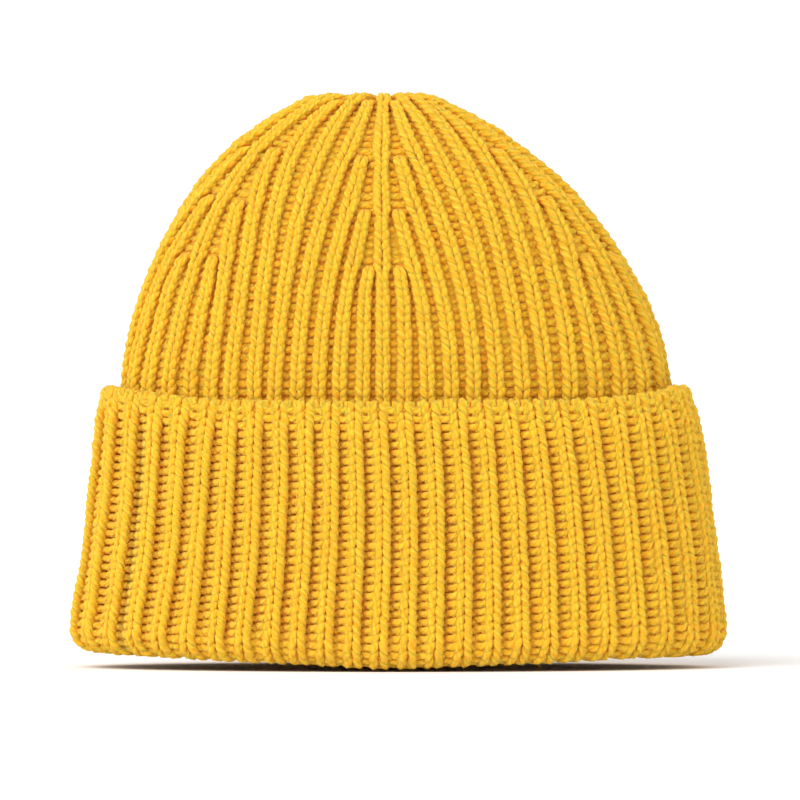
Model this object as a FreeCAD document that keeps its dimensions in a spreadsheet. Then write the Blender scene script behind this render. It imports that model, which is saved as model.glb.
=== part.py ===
"""Ribbed knit beanie with a deep turned-up cuff, as a parametric FreeCAD document.

The hat stands on the fold of its cuff, softly puffed out as if a hand had opened it. +Z is up, the
front faces -Y, and the origin is on the resting surface, in the middle of the fold. Every horizontal
section is an ellipse. The knitted wall is given its full thickness, from rib crest to rib crest.
"""
import FreeCAD, Part
import os
import re
import Sketcher

# name, value in millimetres (or a plain power), meaning
DIMENSIONS = [
    ("fabric", 6.0, "thickness of the ribbed fabric, crest to crest"),
    ("crown_base_height", 103.0, "height where the dome starts to close in"),
    ("crown_rise", 109.5, "from there to the gathered tip"),
    ("crown_half_width", 101.5, "half the dome's width at its base"),
    ("crown_half_depth", 46.0, "half the dome's depth at its base"),
    ("width_power", 1.65, "roundness of the dome seen from the front"),
    ("depth_power", 2.2, "roundness of the dome seen from the side"),
    ("band_half_width", 103.0, "half the band's width, just above the hem"),
    ("band_half_depth", 47.0, "half the band's depth, just above the hem"),
    ("band_knee_height", 31.0, "height below which the band spreads towards the hem"),
    ("band_foot_half_width", 107.0, "half the band's width where it meets the hem"),
    ("band_foot_half_depth", 50.0, "half the band's depth where it meets the hem"),
    ("split_height", 88.0, "where the crown and the band are parted, behind the cuff"),
    ("cuff_height", 99.0, "top of the cuff above the resting surface"),
    ("edge_height", 8.0, "height of the cast-on welt"),
    ("cuff_top_half_width", 109.5, "half the cuff's width at its top"),
    ("cuff_top_half_depth", 54.0, "half the cuff's depth at its top"),
    ("cuff_foot_half_width", 121.0, "half the cuff's width at the hem"),
    ("cuff_foot_half_depth", 60.5, "half the cuff's depth at the hem"),
    ("fold_height", 12.0, "height of the turned hem"),
    ("fold_outer_round", 5.5, "rounding outside, under the hem"),
    ("fold_inner_round", 4.0, "rounding inside, under the hem"),
    ("edge_round", 2.4, "rounding on top of the welt"),
    ("tip_hole_radius", 3.0, "what is left open when the tip is drawn shut"),
    ("closing_loop_radius", 6.5, "radius of the drawn-up closing loop"),
    ("closing_yarn_radius", 1.4, "radius of the closing yarn"),
    ("closing_loop_height", 202.0, "height of the closing loop, inside the tip"),
    ("knot_radius", 2.6, "half the knot's width"),
    ("knot_height", 197.0, "height of the knot, under the loop"),
    ("tail_length", 8.0, "length of the yarn tail under the knot"),
    ("seam_width", 4.0, "width of the seam allowance"),
    ("seam_depth", 1.5, "how far the seam stands off the fabric"),
    ("cuff_seam_depth", 1.2, "the same, between the cuff and the band"),
    ("seam_gap", 0.2, "clearance between a seam and the fabric"),
    ("seam_top_height", 190.0, "where the crown's seam ends, below the tip"),
    ("label_width", 16.0, "width of the care label"),
    ("label_length", 28.0, "folded length of the care label"),
    ("label_depth", 1.0, "thickness of the folded label"),
    ("label_top_height", 84.0, "height of the label's sewn end"),
    ("label_round", 0.3, "rounding at the label's fold"),
]

# where the dome is sectioned, as shares of its height: closer together where it curves most
DOME_SHARES = (0.0, 0.2, 0.4, 0.58, 0.74, 0.86, 0.94, 0.98, 0.995)
ROUND_ANGLES = (0, 22, 45, 68, 90)  # degrees round a rounded rim, from its flat end
SHEET = "dims"
TOUCH = 1e-6  # anything nearer than this lies on a plane


def size_of(name):
    """A dimension's value, for drawing an outline before it is tied to the sheet."""
    return next(value for alias, value, _ in DIMENSIONS if alias == name)


def make_sheet(doc):
    sheet = doc.addObject("Spreadsheet::Sheet", SHEET)
    for row, (alias, value, meaning) in enumerate(DIMENSIONS, start=1):
        sheet.set(f"A{row}", meaning)
        sheet.set(f"B{row}", str(value))
        sheet.setAlias(f"B{row}", alias)
    doc.recompute()


def bind(obj, **expressions):
    """Ties properties to the sheet. Each word of an expression that names a dimension reads its cell."""
    for name, expression in expressions.items():
        path = {"x": "Placement.Base.x", "y": "Placement.Base.y", "z": "Placement.Base.z"}.get(name, name)
        obj.setExpression(path, cells(expression))
    return obj


def cells(expression):
    names = "|".join(alias for alias, _, _ in DIMENSIONS)
    return re.sub(rf"\b({names})\b", rf"{SHEET}.\1", expression)


def oval(doc, name, half_width, half_depth, height):
    section = doc.addObject("Part::Ellipse", name)
    return bind(section, MajorRadius=half_width, MinorRadius=half_depth, z=height)


def loft(doc, name, sections, ruled=False):
    solid = doc.addObject("Part::Loft", name)
    solid.Sections = sections
    solid.Solid = True
    solid.Ruled = ruled
    return solid


def boolean(doc, kind, name, base, tool):
    result = doc.addObject(f"Part::{kind}", name)
    result.Base = base
    result.Tool = tool
    return result


def slab(doc, name, low, high):
    """A block wider than the hat, between two heights, for parting the wall."""
    block = doc.addObject("Part::Box", name)
    return bind(
        block,
        Length="4 * cuff_foot_half_width",
        Width="4 * cuff_foot_half_depth",
        Height=f"( {high} ) - ( {low} )",
        x="-2 * cuff_foot_half_width",
        y="-2 * cuff_foot_half_depth",
        z=low,
    )


def wall_form(doc, name, inset):
    """The solid form of the hat's wall, from the hem to the tip, drawn in by inset all round."""
    sections = [
        oval(
            doc,
            f"{name}_foot",
            f"band_foot_half_width - ( {inset} )",
            f"band_foot_half_depth - ( {inset} )",
            "fold_height",
        ),
        oval(
            doc,
            f"{name}_knee",
            f"band_half_width - ( {inset} )",
            f"band_half_depth - ( {inset} )",
            "band_knee_height",
        ),
        oval(
            doc,
            f"{name}_waist",
            f"( band_half_width + crown_half_width ) / 2 - ( {inset} )",
            f"( band_half_depth + crown_half_depth ) / 2 - ( {inset} )",
            "( band_knee_height + crown_base_height ) / 2",
        ),
    ]
    for number, share in enumerate(DOME_SHARES):
        sections.append(
            oval(
                doc,
                f"{name}_dome_{number}",
                f"( crown_half_width - ( {inset} ) ) * sqrt(1 - {share} ^ width_power )",
                f"( crown_half_depth - ( {inset} ) ) * sqrt(1 - {share} ^ depth_power )",
                f"crown_base_height + {share} * ( crown_rise - ( {inset} ) )",
            )
        )
    return loft(doc, f"{name}_form", sections)


def rounded_sections(doc, name, width, depth, end_height, radius, inwards, upwards):
    """Ovals round a rim: the flat end first, then away from it until the wall stands straight.

    inwards is 1 where the rounding draws the form in at its end, and -1 where it spreads a hole.
    upwards is 1 where the form goes on above the end, and -1 where it goes on below.
    """
    sections = []
    for angle in ROUND_ANGLES:
        inset = f"{inwards} * ( {radius} ) * (1 - sin( {angle} deg ))"
        climb = f"{upwards} * ( {radius} ) * (1 - cos( {angle} deg ))"
        sections.append(
            oval(
                doc,
                f"{name}_round_{angle}",
                f"{width} - ( {inset} )",
                f"{depth} - ( {inset} )",
                f"{end_height} + ( {climb} )",
            )
        )
    return sections


def cuff_share(top_name, foot_name, height):
    """The cuff's straight slope: its size at a height, between the hem and the top."""
    return f"{foot_name} + ( {top_name} - {foot_name} ) * ( {height} ) / cuff_height"


def cuff_width(height, inset="0"):
    return f"( {cuff_share('cuff_top_half_width', 'cuff_foot_half_width', height)} - ( {inset} ) )"


def cuff_depth(height, inset="0"):
    return f"( {cuff_share('cuff_top_half_depth', 'cuff_foot_half_depth', height)} - ( {inset} ) )"


def make_wall(doc):
    """The crown and the band are one shell, parted at a height that the cuff hides."""
    outside = wall_form(doc, "wall", "0")
    hollow = wall_form(doc, "hollow", "fabric")
    crown_shell = boolean(doc, "Cut", "crown_shell", outside, hollow)
    band_shell = boolean(doc, "Cut", "band_shell", outside, hollow)
    above = slab(doc, "above_split", "split_height", "crown_base_height + crown_rise + fabric")
    below = slab(doc, "below_split", "0", "split_height")
    open_crown = boolean(doc, "Common", "open_crown", crown_shell, above)
    hole = doc.addObject("Part::Cylinder", "tip_hole")
    bind(
        hole,
        Radius="tip_hole_radius",
        Height="4 * fabric",
        z="crown_base_height + crown_rise - 2 * fabric",
    )
    crown = boolean(doc, "Cut", "crown", open_crown, hole)
    band = boolean(doc, "Common", "band", band_shell, below)
    return crown, band


def make_fold(doc):
    """The hem: a ring wide enough for both layers, flat underneath and rounded on both sides."""
    outer_foot = rounded_sections(
        doc, "fold_outer", "cuff_foot_half_width", "cuff_foot_half_depth", "0", "fold_outer_round", 1, 1
    )
    outer_foot.append(
        oval(doc, "fold_outer_top", cuff_width("fold_height"), cuff_depth("fold_height"), "fold_height")
    )
    inner_foot = rounded_sections(
        doc,
        "fold_inner",
        "( band_foot_half_width - fabric )",
        "( band_foot_half_depth - fabric )",
        "0",
        "fold_inner_round",
        -1,
        1,
    )
    inner_foot.append(
        oval(
            doc,
            "fold_inner_top",
            "band_foot_half_width - fabric",
            "band_foot_half_depth - fabric",
            "fold_height",
        )
    )
    outer = loft(doc, "fold_outer_form", outer_foot, ruled=True)
    inner = loft(doc, "fold_inner_form", inner_foot, ruled=True)
    return boolean(doc, "Cut", "fold", outer, inner)


def cuff_form(doc, name, inset):
    """The straight-sided form of the cuff from the hem's top to the welt's foot, drawn in by inset."""
    edge_foot = "( cuff_height - edge_height )"
    low = oval(
        doc, f"{name}_low", cuff_width("fold_height", inset), cuff_depth("fold_height", inset), "fold_height"
    )
    high = oval(doc, f"{name}_high", cuff_width(edge_foot, inset), cuff_depth(edge_foot, inset), edge_foot)
    return loft(doc, f"{name}_form", [low, high], ruled=True)


def make_cuff(doc):
    return boolean(doc, "Cut", "cuff", cuff_form(doc, "cuff_out", "0"), cuff_form(doc, "cuff_in", "fabric"))


def make_cuff_edge(doc):
    """The welt: a plain ring with a rounded top. Its hole stays wide enough to pass down the band."""
    edge_foot = "( cuff_height - edge_height )"
    forms = []
    for name, inset, inwards in (("edge_out", "0", 1), ("edge_in", "fabric", -1)):
        rim = rounded_sections(
            doc,
            name,
            f"( cuff_top_half_width - {inset} )",
            f"( cuff_top_half_depth - {inset} )",
            "cuff_height",
            "edge_round",
            inwards,
            -1,
        )
        rim.append(
            oval(doc, f"{name}_foot", cuff_width(edge_foot, inset), cuff_depth(edge_foot, inset), edge_foot)
        )
        forms.append(loft(doc, f"{name}_form", rim, ruled=True))
    return boolean(doc, "Cut", "cuff_edge", *forms)


def make_closing_yarn(doc):
    loop = doc.addObject("Part::Torus", "closing_yarn")
    return bind(loop, Radius1="closing_loop_radius", Radius2="closing_yarn_radius", z="closing_loop_height")


def make_closing_knot(doc):
    """A small round knot with the cut end of the yarn hanging under it."""
    knot = doc.addObject("Part::Ellipsoid", "knot")
    bind(knot, Radius1="0.8 * knot_radius", Radius2="knot_radius", Radius3="knot_radius", z="knot_height")
    tail = doc.addObject("Part::Cylinder", "tail")
    bind(tail, Radius="closing_yarn_radius", Height="tail_length", z="knot_height - tail_length")
    return boolean(doc, "Fuse", "closing_knot", knot, tail)


def seam_block(doc, name, low, high):
    """A narrow block at the centre back, which picks the seam out of a thin layer of the wall."""
    block = doc.addObject("Part::Box", name)
    return bind(
        block,
        Length="seam_width",
        Width="2 * cuff_foot_half_depth",
        Height=f"( {high} ) - ( {low} )",
        x="-seam_width / 2",
        y="0",
        z=low,
    )


def make_back_seam(doc):
    outer = wall_form(doc, "seam_outer", "fabric + seam_gap")
    inner = wall_form(doc, "seam_inner", "fabric + seam_gap + seam_depth")
    layer = boolean(doc, "Cut", "seam_layer", outer, inner)
    block = seam_block(doc, "seam_block", "fold_height + seam_gap", "seam_top_height")
    return boolean(doc, "Common", "back_seam", layer, block)


def make_cuff_seam(doc):
    outer = cuff_form(doc, "cuff_seam_out", "fabric + seam_gap")
    inner = cuff_form(doc, "cuff_seam_in", "fabric + seam_gap + cuff_seam_depth")
    layer = boolean(doc, "Cut", "cuff_seam_layer", outer, inner)
    block = seam_block(
        doc, "cuff_seam_block", "fold_height + seam_gap", "cuff_height - edge_height - seam_gap"
    )
    return boolean(doc, "Common", "cuff_seam", layer, block)


def make_care_label(doc):
    """A folded strip of ribbon, flat against the back seam, with its fold at the bottom."""
    body = doc.addObject("PartDesign::Body", "care_label")
    plane = next(f for f in body.Origin.OriginFeatures if f.Role == "XZ_Plane")
    sketch = body.newObject("Sketcher::SketchObject", "label_outline")
    sketch.AttachmentSupport = (plane, [""])
    sketch.MapMode = "FlatFace"
    width, length = size_of("label_width"), size_of("label_length")
    corners = [
        FreeCAD.Vector(-width / 2, 0, 0),
        FreeCAD.Vector(width / 2, 0, 0),
        FreeCAD.Vector(width / 2, length, 0),
        FreeCAD.Vector(-width / 2, length, 0),
    ]
    for start, end in zip(corners, corners[1:] + corners[:1]):
        sketch.addGeometry(Part.LineSegment(start, end), False)
    for line in range(4):
        sketch.addConstraint(Sketcher.Constraint("Coincident", line, 2, (line + 1) % 4, 1))
    for line, direction in enumerate(("Horizontal", "Vertical", "Horizontal", "Vertical")):
        sketch.addConstraint(Sketcher.Constraint(direction, line))
    wide = sketch.addConstraint(Sketcher.Constraint("DistanceX", 0, 1, 0, 2, width))
    tall = sketch.addConstraint(Sketcher.Constraint("DistanceY", 1, 1, 1, 2, length))
    side = sketch.addConstraint(Sketcher.Constraint("DistanceX", -1, 1, 0, 2, width / 2))
    sketch.addConstraint(Sketcher.Constraint("PointOnObject", 0, 1, -1))
    bind(
        sketch,
        **{
            f"Constraints[{wide}]": "label_width",
            f"Constraints[{tall}]": "label_length",
            f"Constraints[{side}]": "label_width / 2",
        },
    )
    pad = body.newObject("PartDesign::Pad", "label_pad")
    pad.Profile = sketch
    bind(pad, Length="label_depth")
    doc.recompute()
    fold_edges = [
        f"Edge{number}"
        for number, edge in enumerate(pad.Shape.Edges, start=1)
        if edge.BoundBox.ZMax < TOUCH and edge.BoundBox.XLength > width / 2
    ]
    fold = body.newObject("PartDesign::Fillet", "label_fold")
    fold.Base = (pad, fold_edges)
    bind(fold, Radius="label_round")
    body.Tip = fold
    return bind(
        body,
        y="crown_half_depth - fabric - 2 * seam_gap - seam_depth",
        z="label_top_height - label_length",
    )


def check(doc, nodes):
    for obj in doc.Objects:
        if {"Invalid", "Error"} & set(obj.State):
            raise RuntimeError(f"{obj.Label} failed: {obj.State}")
    for node in nodes:
        if node.Shape.isNull() or not node.Shape.isValid() or not node.Shape.Solids:
            raise RuntimeError(f"{node.Label} has no valid solid")


def main():
    doc = FreeCAD.newDocument("beanie")
    make_sheet(doc)
    crown, band = make_wall(doc)
    nodes = [
        crown,
        band,
        make_fold(doc),
        make_cuff(doc),
        make_cuff_edge(doc),
        make_closing_yarn(doc),
        make_closing_knot(doc),
        make_back_seam(doc),
        make_cuff_seam(doc),
        make_care_label(doc),
    ]
    doc.recompute()
    check(doc, nodes)
    os.makedirs("parts", exist_ok=True)
    for node in nodes:
        box = node.Shape.optimalBoundingBox(False)
        print(
            f"{node.Label:13s} {node.Shape.Volume / 1000:8.2f} cm3  {len(node.Shape.Solids)} solid"
            f"  x {box.XMin:.1f}..{box.XMax:.1f}  y {box.YMin:.1f}..{box.YMax:.1f}"
            f"  z {box.ZMin:.1f}..{box.ZMax:.1f}"
        )
        node.Shape.exportStep(f"parts/{node.Label}.step")


main()
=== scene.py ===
"""The looks of the ribbed knit beanie, built stitch by stitch around its CAD frame.

Every course of the fabric is a real loop of yarn: a knit stitch and a purl stitch for each rib. The
fabric starts at the cast-on edge on top of the cuff, runs down the cuff, round the hem, up behind the
cuff and over the crown, where four lines of decreases close it. Lengths are millimetres until a mesh
is made, and metres after that.

A turn is an angle round the hat, from the centre front towards the picture's right. Ribs are numbered
from the centre front, the same way round. Rows are counted along the fabric from the cast-on edge, so
they go down the cuff and then up the band and the crown.
"""

import math

import bpy
import numpy as np
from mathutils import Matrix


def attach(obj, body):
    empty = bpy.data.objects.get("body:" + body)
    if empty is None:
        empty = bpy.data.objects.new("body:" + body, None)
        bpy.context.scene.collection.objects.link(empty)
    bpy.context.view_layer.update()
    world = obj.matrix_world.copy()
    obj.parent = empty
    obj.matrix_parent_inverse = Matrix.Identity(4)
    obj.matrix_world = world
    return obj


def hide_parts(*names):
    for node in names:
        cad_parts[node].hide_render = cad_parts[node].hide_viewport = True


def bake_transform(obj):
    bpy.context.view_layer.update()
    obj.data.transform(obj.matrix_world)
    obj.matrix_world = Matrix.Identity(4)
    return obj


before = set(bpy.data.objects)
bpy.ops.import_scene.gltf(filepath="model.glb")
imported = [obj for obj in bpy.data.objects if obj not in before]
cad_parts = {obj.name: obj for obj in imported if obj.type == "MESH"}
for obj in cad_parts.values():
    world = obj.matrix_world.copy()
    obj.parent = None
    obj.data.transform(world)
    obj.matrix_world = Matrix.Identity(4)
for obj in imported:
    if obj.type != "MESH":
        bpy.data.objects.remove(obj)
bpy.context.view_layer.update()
rng = np.random.default_rng(11)
MM = 0.001


# ---------------------------------------------------------------- nodes of materials and the world
def add_node(tree, kind, **values):
    """A new node, with values for its inputs or its settings."""
    made = tree.nodes.new(kind)
    for key, value in values.items():
        if key in made.inputs:
            made.inputs[key].default_value = value
        else:
            setattr(made, key, value)
    return made


def set_inputs(node, values):
    for key, value in values.items():
        node.inputs[key].default_value = value


def math_node(tree, operation, *values):
    """The result of a sum whose values are numbers or other nodes' results."""
    made = add_node(tree, "ShaderNodeMath", operation=operation)
    for socket, value in zip(made.inputs, values):
        if isinstance(value, (int, float)):
            socket.default_value = value
        else:
            tree.links.new(value, socket)
    return made.outputs[0]


def attribute(tree, key):
    return add_node(tree, "ShaderNodeAttribute", attribute_name=key).outputs["Fac"]


def place_in(tree, kind):
    """The point that is being shaded, as Generated or as Object coordinates."""
    return tree.nodes.new("ShaderNodeTexCoord").outputs[kind]


def noise(tree, place, **values):
    made = add_node(tree, "ShaderNodeTexNoise", **values)
    tree.links.new(place, made.inputs["Vector"])
    return made.outputs["Fac"]


def map_range(tree, value, ends, **values):
    """A value taken from the range of the first two ends to the range of the last two."""
    made = add_node(tree, "ShaderNodeMapRange", **values)
    for socket, end in zip(made.inputs[1:5], ends):
        socket.default_value = end
    tree.links.new(value, made.inputs[0])
    return made.outputs[0]


def colour_ramp(tree, tone, *stops):
    """The colour of a tone, between two stops that each have a place and a colour."""
    ramp = tree.nodes.new("ShaderNodeValToRGB")
    for element, (place, colour) in zip(ramp.color_ramp.elements, stops):
        element.position = place
        element.color = (*colour, 1.0)
    tree.links.new(tone, ramp.inputs["Fac"])
    return ramp.outputs["Color"]


def add_bump(tree, height, strength, distance):
    bump = add_node(tree, "ShaderNodeBump", Strength=strength, Distance=distance)
    tree.links.new(height, bump.inputs["Height"])
    tree.links.new(bump.outputs["Normal"], tree.nodes["Principled BSDF"].inputs["Normal"])


def new_material(name):
    material = bpy.data.materials.new(name)
    material.use_nodes = True
    tree = material.node_tree
    return material, tree, tree.nodes["Principled BSDF"]


# ---------------------------------------------------------------- camera and studio, in metres
CAMERA_DISTANCE = 3.0
VIEW_WIDTH = 0.2956  # what the picture spans at the hat's middle
CAMERA_HEIGHT = 0.0987
CAMERA_SIDE = 0.0015
SENSOR_WIDTH = 36.0  # mm
FAR_CLIP = 100.0
HORIZON_LIGHT = 1.05
CEILING_LIGHT = 0.72
SKY_FALL = (0.2, 0.45)  # between which heights on a sphere of radius 1 the one turns into the other
LAMPS = (  # name, strength, direction and width, both in degrees
    ("key", 2.35, (50, 0, -38), 50),
    ("fill", 0.35, (62, 0, 50), 60),
)
FLOOR_RADIUS, FLOOR_CORNERS = 40.0, 96
FLOOR_LOOK = {"Base Color": (0.96, 0.96, 0.96, 1.0), "Roughness": 0.9, "Specular IOR Level": 0.1}


def make_camera():
    data = bpy.data.cameras.new("camera")
    data.sensor_width = SENSOR_WIDTH
    data.lens = data.sensor_width * CAMERA_DISTANCE / VIEW_WIDTH
    data.clip_end = FAR_CLIP
    camera = bpy.data.objects.new("camera", data)
    camera.location = (CAMERA_SIDE, -CAMERA_DISTANCE, CAMERA_HEIGHT)
    camera.rotation_euler = (math.radians(90), 0, 0)
    bpy.context.scene.collection.objects.link(camera)
    bpy.context.scene.camera = camera


def make_lamp(name, energy, rotation, angle):
    data = bpy.data.lights.new(name, "SUN")
    data.energy = energy
    data.angle = math.radians(angle)
    lamp = bpy.data.objects.new(name, data)
    lamp.rotation_euler = [math.radians(a) for a in rotation]
    bpy.context.scene.collection.objects.link(lamp)


def make_studio():
    world = bpy.data.worlds.new("studio")
    bpy.context.scene.world = world
    world.use_nodes = True
    tree = world.node_tree
    split = tree.nodes.new("ShaderNodeSeparateXYZ")
    tree.links.new(place_in(tree, "Generated"), split.inputs[0])
    ends = (*SKY_FALL, HORIZON_LIGHT, CEILING_LIGHT)
    light = map_range(tree, split.outputs["Z"], ends, interpolation_type="SMOOTHSTEP")
    background = tree.nodes["Background"]
    tree.links.new(light, background.inputs["Strength"])
    background.inputs["Color"].default_value = (1.0, 1.0, 1.0, 1.0)
    for lamp in LAMPS:
        make_lamp(*lamp)

    material, _, shader = new_material("floor")
    set_inputs(shader, FLOOR_LOOK)
    bpy.ops.mesh.primitive_circle_add(vertices=FLOOR_CORNERS, radius=FLOOR_RADIUS, fill_type="NGON")
    floor = bpy.context.object
    floor.name = "floor"
    floor.data.materials.append(material)

    settings = bpy.context.scene.view_settings
    settings.view_transform = "Standard"
    settings.look = "None"
    settings.exposure = 0.0


# ---------------------------------------------------------------- curves
def lerp(a, b, u):
    return a + (b - a) * u


def ease(u):
    """A smooth step: 0 and 1 stay as they are, and it is level at both."""
    return u * u * (3 - 2 * u)


def ramp_up(value, start, length):
    """0 up to the start and 1 from that length beyond it."""
    return np.clip((value - start) / length, 0, 1)


def ramp_down(value, end, length):
    """1 up to that length before the end and 0 from the end on."""
    return np.clip((end - value) / length, 0, 1)


def bell(value, centre, reach):
    """1 at the centre, and 1/e at the reach from it."""
    return np.exp(-(((value - centre) / reach) ** 2))


# ---------------------------------------------------------------- the middle of the fabric
CUFF, HEM, KNEE, BAND, DOME, TIP = range(6)  # the fabric's parts in the order it is knitted
PART_ROWS = (28, 8, 6, 23, 37, 5)
# the rows where the parts after the cuff start, and the last row of all
HEM_ROW, KNEE_ROW, BAND_ROW, DOME_ROW, _, LAST_ROW = np.cumsum(PART_ROWS).tolist()
ROW_HEIGHT = 3.1
# half-width, half-depth and height where the parts meet
EDGE_A, EDGE_B, EDGE_Z = 107.0, 51.8, 96.1  # the cast-on edge
HEM_A, HEM_B, HEM_Z = 118.0, 57.5, 10.0  # the cuff's foot
FOOT_A, FOOT_B, FOOT_Z = 104.0, 47.0, 12.0  # the hem's other end, behind the cuff
KNEE_A, KNEE_B, KNEE_Z = 98.5, 43.0, 31.0  # where the band starts to rise upright
DOME_A, DOME_B, DOME_Z = 98.5, 43.0, 103.0  # the dome's foot
TIP_A, TIP_B, TIP_Z, TIP_CREST = 5.0, 4.5, 203.5, 2.8  # the hole at the tip, and the roll round it
DOME_RISE, WIDTH_POWER, DEPTH_POWER = 106.5, 1.65, 2.2  # a whole dome's height, and its two outlines
DOME_END = 0.9636  # share of the rise where the gathered tip begins
SLACK, SLACK_END = 0.9, 0.85  # how far the sides lie inside that outline, and up to which share
SHOULDER, SHOULDER_A, SHOULDER_REACH = 1.3, 20.0, 14.0  # how much the top stands up, and at which half-width
DENT, DENT_Z, DENT_REACH = 1.7, 188.0, 10.0  # the dome is a little flatter high on its right
HEM_DROP = 8.2  # how far the hem hangs below the line between its ends
HEM_LIFT = 5.0  # how much higher it lies at the hat's left end than at the front
LIFT_ROUND, LIFT_RIGHT = 0.15, 0.25  # how softly that lift starts, and how much less the right end has
EDGE_BOW = 5.6  # how much higher the cast-on edge lies at the hat's ends than at the front
EDGE_ROUND = 1.1  # the radius in which the fabric curls inwards before row 0
LEAN, LEAN_FOOT, LEAN_SPAN, LEAN_POWER = -8.0, 118.0, 80.0, 1.3  # the crown leans over to the left
LEAN_FRONT = 0.38  # share of the lean at the front and back
LEAN_TIP, LEAN_TIP_A = 0.55, 8  # its share at the tip, and the half-width in which that takes over
CUFF_SWING, SWING_TOP = 1.5, 100  # the cuff's middle heights sit to the right, below this height
SWING_END, SWING_FADE = HEM_ROW + 5, 4  # the row where that is over, and over how many rows it fades
TURN_STEPS, ROW_STEPS, SAMPLES = 240, 4, 48  # fineness round the hat, within a row and along a part


def section(part, turn, u):
    """Half-width, half-depth and height along one part of the fabric, for turns and shares 0 to 1."""
    side = np.abs(np.sin(turn))
    right = np.maximum(np.sin(turn), 0)
    lift = HEM_LIFT * (1 + LIFT_ROUND) * side**2 / (side + LIFT_ROUND) * (1 - LIFT_RIGHT * right)
    if part == CUFF:
        edge = EDGE_Z + EDGE_BOW * side**4
        return lerp(EDGE_A, HEM_A, u), lerp(EDGE_B, HEM_B, u), lerp(edge, HEM_Z + lift, u)
    if part == HEM:
        angle = np.pi * u
        a = (HEM_A + FOOT_A) / 2 + (HEM_A - FOOT_A) / 2 * np.cos(angle)
        b = (HEM_B + FOOT_B) / 2 + (HEM_B - FOOT_B) / 2 * np.cos(angle)
        return a, b, lerp(HEM_Z, FOOT_Z, u) + lift - HEM_DROP * np.sin(angle)
    if part == KNEE:
        blend = u * (2 - u)
        return lerp(FOOT_A, KNEE_A, blend), lerp(FOOT_B, KNEE_B, blend), lerp(FOOT_Z + lift, KNEE_Z, u)
    if part == BAND:
        return lerp(KNEE_A, DOME_A, u), lerp(KNEE_B, DOME_B, u), lerp(KNEE_Z, DOME_Z, u)
    share = DOME_END * (np.sin(np.pi / 2 * u) if part == DOME else np.ones_like(u))
    a = DOME_A * np.sqrt(np.maximum(1 - share**WIDTH_POWER, 0))
    a = a - SLACK * np.sin(np.pi * np.minimum(share / SLACK_END, 1))
    b = DOME_B * np.sqrt(np.maximum(1 - share**DEPTH_POWER, 0))
    z = DOME_Z + DOME_RISE * share + SHOULDER * bell(a, SHOULDER_A, SHOULDER_REACH)
    a = a - DENT * right * bell(z, DENT_Z, DENT_REACH)
    if part == TIP:
        gather = (1 - np.cos(np.pi * u)) / 2
        a, b = lerp(a, TIP_A, gather), lerp(b, TIP_B, gather)
        z = lerp(z, TIP_Z, u) + TIP_CREST * np.sin(np.pi * u)
    return a, b, z


def make_surface():
    """Half-width, half-depth and height of the fabric's middle, by turn and row.

    Within a part all rows are equally long, at every turn."""
    turns = np.linspace(0, 2 * np.pi, TURN_STEPS + 1)[:, None]
    share = np.linspace(0, 1, SAMPLES + 1)[None, :]
    parts = []
    for part, part_rows in enumerate(PART_ROWS):
        a, b, z = (np.broadcast_to(v, (TURN_STEPS + 1, SAMPLES + 1)) for v in section(part, turns, share))
        points = np.stack([a * np.sin(turns), -b * np.cos(turns), z], -1)
        length = np.linalg.norm(np.diff(points, axis=1), axis=-1).cumsum(1)
        length = np.concatenate([np.zeros((TURN_STEPS + 1, 1)), length], 1)
        wanted = np.linspace(0, 1, part_rows * ROW_STEPS + 1)[: None if part == TIP else -1]
        table = np.empty((TURN_STEPS + 1, len(wanted), 3))
        for k in range(TURN_STEPS + 1):
            for axis, values in enumerate((a, b, z)):
                table[k, :, axis] = np.interp(wanted * length[k, -1], length[k], values[k])
        parts.append(table)
    return np.concatenate(parts, 1)


SURFACE = make_surface()


def middle(turn, row):
    """The point of the fabric's middle at a turn and a row, both arrays of one shape."""
    t = (turn / (2 * np.pi)) % 1.0 * TURN_STEPS
    r = np.clip(row, 0, LAST_ROW) * ROW_STEPS
    i = np.minimum(t.astype(int), TURN_STEPS - 1)
    j = np.minimum(r.astype(int), SURFACE.shape[1] - 2)
    u, v = (t - i)[..., None], (r - j)[..., None]
    value = (SURFACE[i, j] * (1 - u) + SURFACE[i + 1, j] * u) * (1 - v)
    value += (SURFACE[i, j + 1] * (1 - u) + SURFACE[i + 1, j + 1] * u) * v
    a, b, z = value[..., 0], value[..., 1], value[..., 2]
    curl = np.maximum(-row, 0) * ROW_HEIGHT / EDGE_ROUND
    inward = EDGE_ROUND * (1 - np.cos(curl))
    a, b, z = a - inward, b - inward, z + EDGE_ROUND * np.sin(curl)
    rise = np.maximum((z - LEAN_FOOT) / LEAN_SPAN, 0) ** LEAN_POWER
    follow = LEAN_FRONT + (1 - LEAN_FRONT) * np.sin(turn) ** 2
    lean = LEAN * rise * lerp(follow, LEAN_TIP, bell(a, 0, LEAN_TIP_A))
    swing = CUFF_SWING * np.sin(np.pi * np.clip(z / SWING_TOP, 0, 1))
    swing = swing * ramp_down(row, SWING_END, SWING_FADE)
    return np.stack([a * np.sin(turn) + lean + swing, -b * np.cos(turn), z], -1)


TURN_NUDGE, ROW_NUDGE = 0.01, 0.3  # small steps that show which way the fabric runs


def run_across(turn, row):
    """How far the fabric's middle moves over two nudges of the turn, and that for a whole radian."""
    across = middle(turn + TURN_NUDGE, row) - middle(turn - TURN_NUDGE, row)
    return across, np.linalg.norm(across, axis=-1) / (2 * TURN_NUDGE)


def right_side(across, turn, row):
    """The unit normal on the fabric's right side.

    That is the side that faces out on the band and the crown, and in on the turned-up cuff."""
    up = middle(turn, np.minimum(row + ROW_NUDGE, LAST_ROW)) - middle(turn, row - ROW_NUDGE)
    normal = np.cross(across, up)
    return normal / np.linalg.norm(normal, axis=-1, keepdims=True)


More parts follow.
